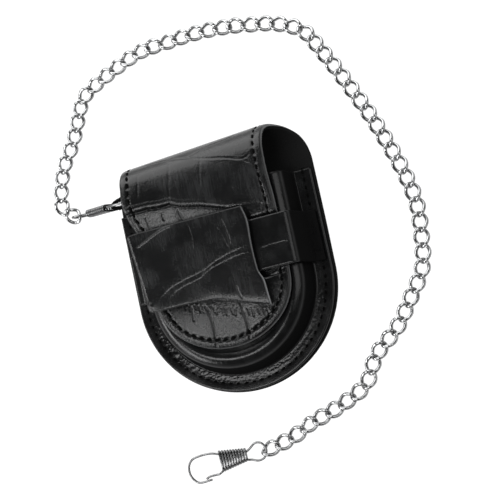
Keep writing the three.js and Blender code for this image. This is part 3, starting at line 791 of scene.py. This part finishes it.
# Keeper panel: charted by its width along the bend at its left, and by y
panel = {
    "thickness": 1.8, "edgeRadius": 0.5, "step": 0.28, "innerStep": 1.2, "insets": (0.07, 0.18, 0.35, 0.6),
    "leftLean": 3.0, "rightLean": 3.2, "topDroop": 0.05, "bottomDroop": 0.7,
    # the side edges carry the painted highlight in full below this y, and a share of it above
    "cutShare": 0.6, "cutWidth": 0.4, "highlightBelow": 1.5, "topShade": 0.85, "topWidth": 0.7,
    # (way across, share of the bottom's droop)
    "droopShare": [(-29, 0.1), (-12, 0.15), (-7, 0.5), (-3, 1), (3, 1), (8, 0.7), (14, 0.7)],
    # (way across, x, z, top, bottom)
    "sections": [
        (-28.9, -28.7, 20.6, 24.6, -2.8), (-28.5, -28.4, 20.95, 24.7, -3), (-27.8, -27.8, 21.2, 24.8, -3.2),
        (-25, -25, 21.35, 25, -3.4), (-17, -17, 21.4, 25, -3.4), (-8, -8, 21.4, 25, -3.8),
        (3, 3, 21.4, 25, -7), (13.7, 13.7, 21.2, 25, -10.2),
    ],
    # (share down the right edge, how far it stands out)
    "rightEdge": [(0, 0), (0.14, 0.7), (0.4, -0.4), (0.64, -0.9), (0.77, 0.2), (1, 0)],
    "grooves": [
        (-0.14, 0.26, 0, [(-27, 19.9), (-24.6, 20.5), (-21.6, 21.7), (-18.2, 23), (-14.6, 24),
                          (-11, 24.4)]),
        (-0.12, 0.2, 0, [(-24.3, 0.9), (-22.2, 1.9), (-18.6, 3.9), (-14.4, 5), (-9.7, 6), (-5.7, 6.8),
                         (-0.8, 8.8), (3.1, 9.9), (6.9, 10.7), (12.1, 11.5)]),
        (-0.1, 0.2, 0, [(-20.6, 0.4), (-16.3, 2.6), (-11, 3.8), (-7.9, 4.5), (-4, 6.4), (-0.1, 7.5),
                        (5.6, 8.6), (9.3, 9), (12.4, 8.9)]),
        (0.14, 0.3, 0.03, [(-6.2, 23.4), (-6.4, 18.1), (-7.4, 14)]),
        (0.16, 0.3, 0.04, [(5.8, 22.1), (6.1, 19.2), (6.4, 14.8), (6.1, 12)]),
        (0.14, 0.28, 0.03, [(3.6, 19.5), (4.4, 15.3), (5, 11.6)]),
        (0.24, 0.32, 0.05, [(4, -1.4), (3.9, -3.4), (4.5, -6.2)]),
    ],
    "bulges": [(0.5, -4, 3, 0.2), (-28, -1, 1.5, 0.5)],  # (across, y, reach, height)
}


def panelEdges(across):
    return [smoothTable(panel["sections"], across, column) for column in (3, 4)]


def panelPlace(spots):
    across, y = spots[:, 0], spots[:, 1]
    top, bottom = panelEdges(across)
    share = np.clip((top - y) / (top - bottom), -0.1, 1.1)
    start, end = panel["sections"][0][0], panel["sections"][-1][0]
    whole = np.clip((across - start) / (end - start), -0.1, 1.1)
    lean = panel["leftLean"] + (panel["rightLean"] - panel["leftLean"]) * whole
    x = smoothTable(panel["sections"], across, 1) + lean * share
    x = x + smoothTable(panel["rightEdge"], share) * clamp((whole - 0.75) / 0.25) ** 2
    low = panel["bottomDroop"] * smoothTable(panel["droopShare"], across)
    droop = np.where(share < 0.5, panel["topDroop"] * (1 - 2 * share) ** 8, low * (2 * share - 1) ** 14)
    z = smoothTable(panel["sections"], across, 2) - droop
    return gather(x, y, z)


def makePanel():
    start, end = panel["sections"][0][0], panel["sections"][-1][0]
    across = np.linspace(start, end, 120)
    top, bottom = panelEdges(across)
    loop = closedLoop(np.vstack([gather(across, bottom), gather(across, top)[::-1]]))
    sides = []
    for spots, made in twoSides(panel, loop, -12, 26, panelPlace, -1):
        sideways = np.minimum(spots[:, 0] - start, end - spots[:, 0])
        # painted highlight on the side edges, full low down and weaker above
        paler = np.where(spots[:, 1] < panel["highlightBelow"], 1, panel["cutShare"])
        made["cut"] = clamp(1 - sideways / panel["cutWidth"]) * paler
        # painted shade: the top edge lies in shade, so near it the gloss gives way to matte flesh
        below = panelEdges(spots[:, 0])[0] - spots[:, 1]
        made["dull"] = np.maximum(made["dull"], panel["topShade"] * clamp(1 - below / panel["topWidth"]))
        sides.append(made)
    return joinSides("keeper_panel_leather", *sides, embossedLeather)


finishPiece(makePanel(), "embossed_leather", "keeper_panel")
print("leather pieces made")


def startTree(name, *labels):  # a geometry tree with one geometry in and out, named inputs and a material
    tree = bpy.data.node_groups.new(name, "GeometryNodeTree")
    labels = ("Geometry", *labels, "Material")
    kinds = {"Geometry": "Geometry", "Sides": "Int", "Material": "Material"}
    for label in labels:
        kind = "NodeSocket" + kinds.get(label, "Float")
        tree.interface.new_socket(label, in_out="INPUT", socket_type=kind)
    tree.interface.new_socket("Geometry", in_out="OUTPUT", socket_type="NodeSocketGeometry")
    source = tree.nodes.new("NodeGroupInput")
    return Wire(tree), {label: Wire(tree, source.outputs[label]) for label in labels}


def endTree(wire, geometry, material):  # instances made real, then smooth faces and the material
    geometry = wire.node("GeometryNodeRealizeInstances", {"Geometry": geometry})
    geometry = wire.node("GeometryNodeSetShadeSmooth", {"Geometry": geometry})
    geometry = wire.node("GeometryNodeSetMaterial", {"Geometry": geometry, "Material": material})
    wire.feed(wire.tree.nodes.new("NodeGroupOutput"), {"Geometry": geometry})
    return wire.tree


def tube(wire, curve, thickness, sides, caps=True):  # a round wire along a curve
    ring = wire.node("GeometryNodeCurvePrimitiveCircle", {"Resolution": sides, "Radius": thickness * 0.5})
    return wire.node("GeometryNodeCurveToMesh", {"Curve": curve, "Profile Curve": ring, "Fill Caps": caps})


def vectorLayer(wire, name):
    return wire.node("GeometryNodeInputNamedAttribute", {"Name": name}, data_type="FLOAT_VECTOR")


def stitchTree():  # arched stitches at even steps along lines; each point's lift is the leather's normal
    wire, given = startTree("stitchRow", "Pitch", "Length", "Thread", "Arch", "Slant")
    curve = wire.node("GeometryNodeMeshToCurve", {"Mesh": given["Geometry"]})
    curve = wire.node("GeometryNodeResampleCurve", {"Curve": curve, "Length": given["Pitch"]}, mode="LENGTH")
    tangent = wire.node("GeometryNodeInputTangent")
    turn = wire.node("FunctionNodeAlignRotationToVector", {"Vector": vectorLayer(wire, "lift")}, axis="Z")
    turn = wire.node("FunctionNodeAlignRotationToVector", {"Rotation": turn, "Vector": tangent},
                     axis="X", pivot_axis="Z")
    slant = wire.node("FunctionNodeAxisAngleToRotation", {"Axis": (0, 0, 1), "Angle": given["Slant"]})
    turn = wire.node("FunctionNodeRotateRotation", {"Rotation": turn, "Rotate By": slant},
                     rotation_space="LOCAL")
    half, sunk = given["Length"] * 0.5, -1 * given["Thread"]
    start, top, end = (wire.node("ShaderNodeCombineXYZ", {"X": x, "Z": z})
                       for x, z in ((-1 * half, sunk), (0.0, given["Arch"]), (half, sunk)))
    arch = wire.node("GeometryNodeCurveQuadraticBezier", {
        "Resolution": 6, "Start": start, "Middle": top, "End": end})
    thread = tube(wire, arch, given["Thread"], 7)
    row = wire.node("GeometryNodeInstanceOnPoints", {"Points": curve, "Instance": thread, "Rotation": turn})
    return endTree(wire, row, given["Material"])


def wireTree():  # a round wire along the mesh's edges
    wire, given = startTree("bentWire", "Thickness", "Sides")
    curve = wire.node("GeometryNodeMeshToCurve", {"Mesh": given["Geometry"]})
    return endTree(wire, tube(wire, curve, given["Thickness"], given["Sides"]), given["Material"])


def chainTree():  # a twisted oval link on every point, turned by the point's own angles
    wire, given = startTree("curbChain", "Half Length", "Half Width", "Wire", "Twist")
    ring = wire.node("GeometryNodeCurvePrimitiveCircle", {"Resolution": 36, "Radius": 1.0})
    split = wire.node("ShaderNodeSeparateXYZ", {"Vector": wire.node("GeometryNodeInputPosition")})
    x, y = (Wire(wire.tree, split.socket.node.outputs[axis]) for axis in "XY")
    oval = wire.node("ShaderNodeCombineXYZ", {"X": x * given["Half Length"], "Y": y * given["Half Width"]})
    twisted = wire.node("ShaderNodeVectorRotate", {"Vector": oval, "Angle": x * given["Twist"]},
                        rotation_type="X_AXIS")
    ring = wire.node("GeometryNodeSetPosition", {"Geometry": ring, "Position": twisted})
    turn = wire.node("FunctionNodeEulerToRotation", {"Euler": vectorLayer(wire, "angles")})
    link = tube(wire, ring, given["Wire"], 10, False)
    links = wire.node("GeometryNodeInstanceOnPoints", {
        "Points": given["Geometry"], "Instance": link, "Rotation": turn})
    return endTree(wire, links, given["Material"])


def runTree(name, tree, points, edges, values, vectors=None):  # a plain mesh from a tree
    mesh = bpy.data.meshes.new(name)
    mesh.from_pydata((np.asarray(points) * mm).tolist(), edges, [])
    for label, rows in (vectors or {}).items():
        layer = mesh.attributes.new(label, "FLOAT_VECTOR", "POINT")
        layer.data.foreach_set("vector", np.asarray(rows, np.float32).reshape(-1))
    piece = addObject(name, mesh)
    modifier = piece.modifiers.new(tree.name, "NODES")
    modifier.node_group = tree
    for item in tree.interface.items_tree:
        if item.in_out == "INPUT" and item.name in values:
            modifier[item.identifier] = values[item.name]
    bpy.context.view_layer.update()
    graph = bpy.context.evaluated_depsgraph_get()
    made = bpy.data.meshes.new_from_object(piece.evaluated_get(graph))
    piece.modifiers.remove(modifier)
    piece.data = made
    made.name = name
    return piece


def lineEdges(count, closed=False, start=0):
    edges = [(start + index, start + index + 1) for index in range(count - 1)]
    return edges + [(start + count - 1, start)] if closed else edges


# Stitches round the flap and on the flange
def flapStitches():
    spots = flapStitchLine(flapOutline())
    normals = outwardNormals(flapPlace, spots)
    half = flap["thickness"] / 2 - stitch["dip"]
    return flapPlace(spots) + normals * (half + stitch["sunk"]), normals


def flangeStitches():
    line = flangeStitchLine()
    z = np.full(len(line), pouch["flangeTop"] - stitch["flangeDip"])
    return gather(line, z), np.tile((0.0, 0.0, 1.0), (len(line), 1))


def makeStitches(name, line, lift, tree):
    values = {label: stitch[label.lower()] * mm for label in ("Pitch", "Length", "Thread", "Arch")}
    values |= {"Slant": stitch["slant"], "Material": waxedThread}
    piece = runTree(name, tree, line, lineEdges(len(line)), values, {"lift": lift})
    finishPiece(piece, "thread_and_cord")


stitches = stitchTree()
makeStitches("flap_stitches", *flapStitches(), stitches)
makeStitches("flange_stitches", *flangeStitches(), stitches)
print("stitches sewn")


# Chain of curb links laid round the pouch
chain = {
    "links": 61, "wire": 1.3, "width": 6.0, "twist": math.pi / 4, "grip": 1.04,
    "route": [
        (-54.9, 40.9), (-58.5, 45.3), (-57.6, 51.2), (-54.7, 59.2), (-49.1, 67.7), (-44.6, 77.2),
        (-42, 82), (-37.8, 84.9), (-27.5, 89.4), (-16.6, 92.8), (-7.5, 93.2), (4, 93.5),
        (15.2, 92.6), (24.3, 90.9), (35.1, 88.2), (44, 82.9), (48.8, 74.3), (53.4, 64.5),
        (61.4, 44.8), (67.7, 23.7), (69.2, 13.2), (68.3, 2.4), (66.2, -8.1), (60, -17.3),
        (52.8, -26.4), (43.8, -33.8), (38.1, -42.5), (28.3, -47.6), (16.9, -51.3), (8.3, -54.9),
        (0, -57),
    ],
    # links that lie turned on the chain's line
    "rolled": {0: 0.3, 15: 0.35, 21: 0.35, 26: -0.25, 57: 0.35, 60: 0.3},
}


def linkLowest(roll, halfWidth):  # how far a twisted link reaches below its middle
    turn = np.linspace(0, 2 * math.pi, 200)
    below = halfWidth * np.sin(turn) * np.sin(chain["twist"] * np.cos(turn) + roll)
    return np.abs(below).max() + chain["wire"] / 2


def makeChain():
    fine = roundedLine(chain["route"], 0.05)
    pitch = lengthsAlong(fine)[-1] / (chain["links"] - 1)
    centres = evenLine(fine, chain["links"])
    ahead = evenLine(fine, (chain["links"] - 1) * 20 + 1)
    directions = np.array([ahead[min(20 * index + 1, len(ahead) - 1)] - ahead[max(20 * index - 1, 0)]
                           for index in range(chain["links"])])
    rolls = np.array([chain["rolled"].get(index, 0.0) for index in range(chain["links"])])
    halfWidth = (chain["width"] - chain["wire"]) / 2
    lifts = np.array([linkLowest(roll, halfWidth) for roll in rolls])
    angles = gather(rolls, 0 * rolls, np.arctan2(directions[:, 1], directions[:, 0]))
    values = {"Half Length": (pitch + chain["grip"]) / 2 * mm, "Half Width": halfWidth * mm,
              "Wire": chain["wire"] * mm, "Twist": chain["twist"], "Material": brightPlating}
    piece = runTree("curb_chain", chainTree(), gather(centres, lifts), [], values, {"angles": angles})
    finishPiece(piece, "bright_metal", "chain")


makeChain()


# Spring hooks: gate, flattened cone of coils, rear loop and hook, bent from one wire
hook = {
    "wire": 0.8, "sides": 10, "turns": 10, "coilLength": 10.3, "frontHalf": 3.6, "rearHalf": 1.95,
    "halfThick": 1.1, "squareness": 2 / 3,
    # (forward, aside)
    "gate": [(16.6, -4.7), (15.5, -4.2), (11.6, -4.2)],
    "rear": [(-1.2, -2.2), (-3.8, -3.1), (-6, -2.5), (-7.2, 0), (-6, 2.5), (-3.8, 3.1), (-1.2, 1.6)],
    "front": [
        (0.4, 0.9), (9.6, 2.4), (11, 2.9), (13, 3.5), (16.5, 3.7), (20.2, 3.1), (21.9, 1.2),
        (22.2, -1.6), (21.3, -3.8), (19.6, -5.3), (14.7, -5.4),
    ],
    "atPouch": {"place": (-47.4, 39.4, 4.88), "heading": -0.06, "rise": 0.34, "roll": 1.65},
    "free": {"place": (-8.9, -57.2, 1.7), "heading": math.pi + 0.04, "rise": 0.0, "roll": math.pi},
}


def hookPath():
    share = np.linspace(0, 1, hook["turns"] * 26 + 1)
    turn = 2 * math.pi * hook["turns"] * share
    halfWidth = hook["frontHalf"] + (hook["rearHalf"] - hook["frontHalf"]) * share
    rounded = [np.sign(wave) * np.abs(wave) ** hook["squareness"] for wave in (np.cos(turn), np.sin(turn))]
    coil = gather(hook["coilLength"] * (1 - share), -halfWidth * rounded[0], hook["halfThick"] * rounded[1])
    gate, after = (roundedLine(part, 0.35) for part in (hook["gate"], hook["rear"] + hook["front"]))
    gate, after = (gather(part, np.zeros(len(part))) for part in (gate, after))
    return np.vstack([gate, coil, after])


def makeHook(name, node, laid, tree):
    turn = (Matrix.Rotation(laid["heading"], 3, "Z") @ Matrix.Rotation(-laid["rise"], 3, "Y")
            @ Matrix.Rotation(laid["roll"], 3, "X"))
    path = hookPath() @ np.array(turn).T + laid["place"]
    values = {"Thickness": hook["wire"] * mm, "Sides": hook["sides"], "Material": shadedHookMetal}
    finishPiece(runTree(name, tree, path, lineEdges(len(path)), values), "bright_metal", node)


bentWire = wireTree()
makeHook("pouch_spring_hook", "pouch_hook", hook["atPouch"], bentWire)
makeHook("free_spring_hook", "free_hook", hook["free"], bentWire)


# Cord loop that the pouch's hook is clipped to: three strands laid round each other
cordLoop = {"cord": 1.6, "strands": 3, "halfLength": 6.0, "halfWidth": 1.6, "turns": 7,
            "place": (-30.0, 38.4, 12.9), "tilt": -0.34}


def makeCordLoop(tree):
    count = 150
    turn = np.linspace(0, 2 * math.pi, count, endpoint=False)
    middle = gather(cordLoop["halfLength"] * np.cos(turn), cordLoop["halfWidth"] * np.sin(turn))
    outward = unit(gather(np.cos(turn) / cordLoop["halfLength"], np.sin(turn) / cordLoop["halfWidth"]))
    strand = cordLoop["cord"] * 0.54
    reach = (cordLoop["cord"] - strand) / 2
    tilt = np.array(Matrix.Rotation(cordLoop["tilt"], 3, "Y"))
    points, edges = [], []
    for index in range(cordLoop["strands"]):
        lay = cordLoop["turns"] * turn + 2 * math.pi * index / cordLoop["strands"]
        line = gather(middle + reach * np.cos(lay)[:, None] * outward, reach * np.sin(lay))
        edges += lineEdges(count, True, index * count)
        points.append(line @ tilt.T + cordLoop["place"])
    values = {"Thickness": strand * mm, "Sides": 8, "Material": waxedThread}
    piece = runTree("hook_cord", tree, np.vstack(points), edges, values)
    finishPiece(piece, "thread_and_cord", "hook_cord_loop")


makeCordLoop(bentWire)
print("chain, hooks and cord made")


# White table, softboxes above the tongue, beyond the fold and at both sides, and the camera
studio = {
    "floorHalf": 3000.0, "floorColour": grey(0.09), "floorShade": grey(0.08), "floorGlow": 1.0,
    "horizon": 0.9, "zenith": 0.08, "horizonTop": 0.62,  # the room, whose pale band ends at this height
    # (name, place, which way its height runs, width, height, power)
    "softboxes": [
        ("frontSoftbox", (-260, -212, 850), (0, 1, 0), 520, 240, 3.6),
        ("foldSoftbox", (-150, 560, 300), (0, 0, 1), 800, 620, 6),
        ("leftSoftbox", (-640, -150, 400), (0, 0, 1), 800, 160, 4.4),
        ("rightSoftbox", (430, 60, 600), (0, 0, 1), 420, 400, 1.2),
    ],
    "camera": {"place": (156.6, -62.3, 518.8), "aim": (7.42, 12.45, 0.0), "top": (0.2351, 0.9709, 0.0457),
               "focalPixels": 1544.0, "imagePixels": 500.0},
}


def makeFloor():
    half = studio["floorHalf"]
    material, wire, shader, place = startMaterial("whiteTable")
    soft = noise(wire, place, 60.0, 2.0)
    wire.feed(shader, {
        "Base Color": soft.mixColour(studio["floorShade"], studio["floorColour"]), "Roughness": 0.8,
        "Emission Color": grey(1.0), "Emission Strength": studio["floorGlow"]})
    corners = [(-half, -half, 0), (half, -half, 0), (half, half, 0), (-half, half, 0)]
    meshObject("floor", corners, [(0, 1, 2, 3)], material)


def aimMatrix(place, aim, top):
    forward = (Vector(aim) - Vector(place)).normalized()
    right = forward.cross(Vector(top)).normalized()
    up = right.cross(forward)
    turn = Matrix((right, up, -forward)).transposed().to_4x4()
    return Matrix.Translation(Vector(place) * mm) @ turn


def makeLights():
    for name, place, top, width, height, power in studio["softboxes"]:
        light = bpy.data.lights.new(name, "AREA")
        light.shape = "RECTANGLE"
        light.size, light.size_y = width * mm, height * mm
        light.energy = power
        addObject(name, light).matrix_world = aimMatrix(place, (0, 0, 0), top)
    world = bpy.data.worlds.new("studioWorld")
    world.use_nodes = True
    wire = Wire(world.node_tree)
    way = wire.node("ShaderNodeTexCoord", output="Generated")
    height = wire.node("ShaderNodeSeparateXYZ", {"Vector": way}, "Z")
    upper = height.between(0.0, studio["horizonTop"])
    colour = upper.mixColour(grey(studio["horizon"]), grey(studio["zenith"]))
    wire.feed(wire.tree.nodes["Background"], {"Color": colour})
    bpy.context.scene.world = world


def makeCamera():
    setting = studio["camera"]
    data = bpy.data.cameras.new("photoCamera")
    data.sensor_width = 36.0
    data.lens = setting["focalPixels"] / setting["imagePixels"] * data.sensor_width
    data.clip_start = 0.01
    camera = addObject("photoCamera", data)
    camera.matrix_world = aimMatrix(setting["place"], setting["aim"], setting["top"])
    bpy.context.scene.camera = camera


makeFloor()
makeLights()
makeCamera()
bpy.context.scene.view_settings.view_transform = "Standard"
print("studio made")
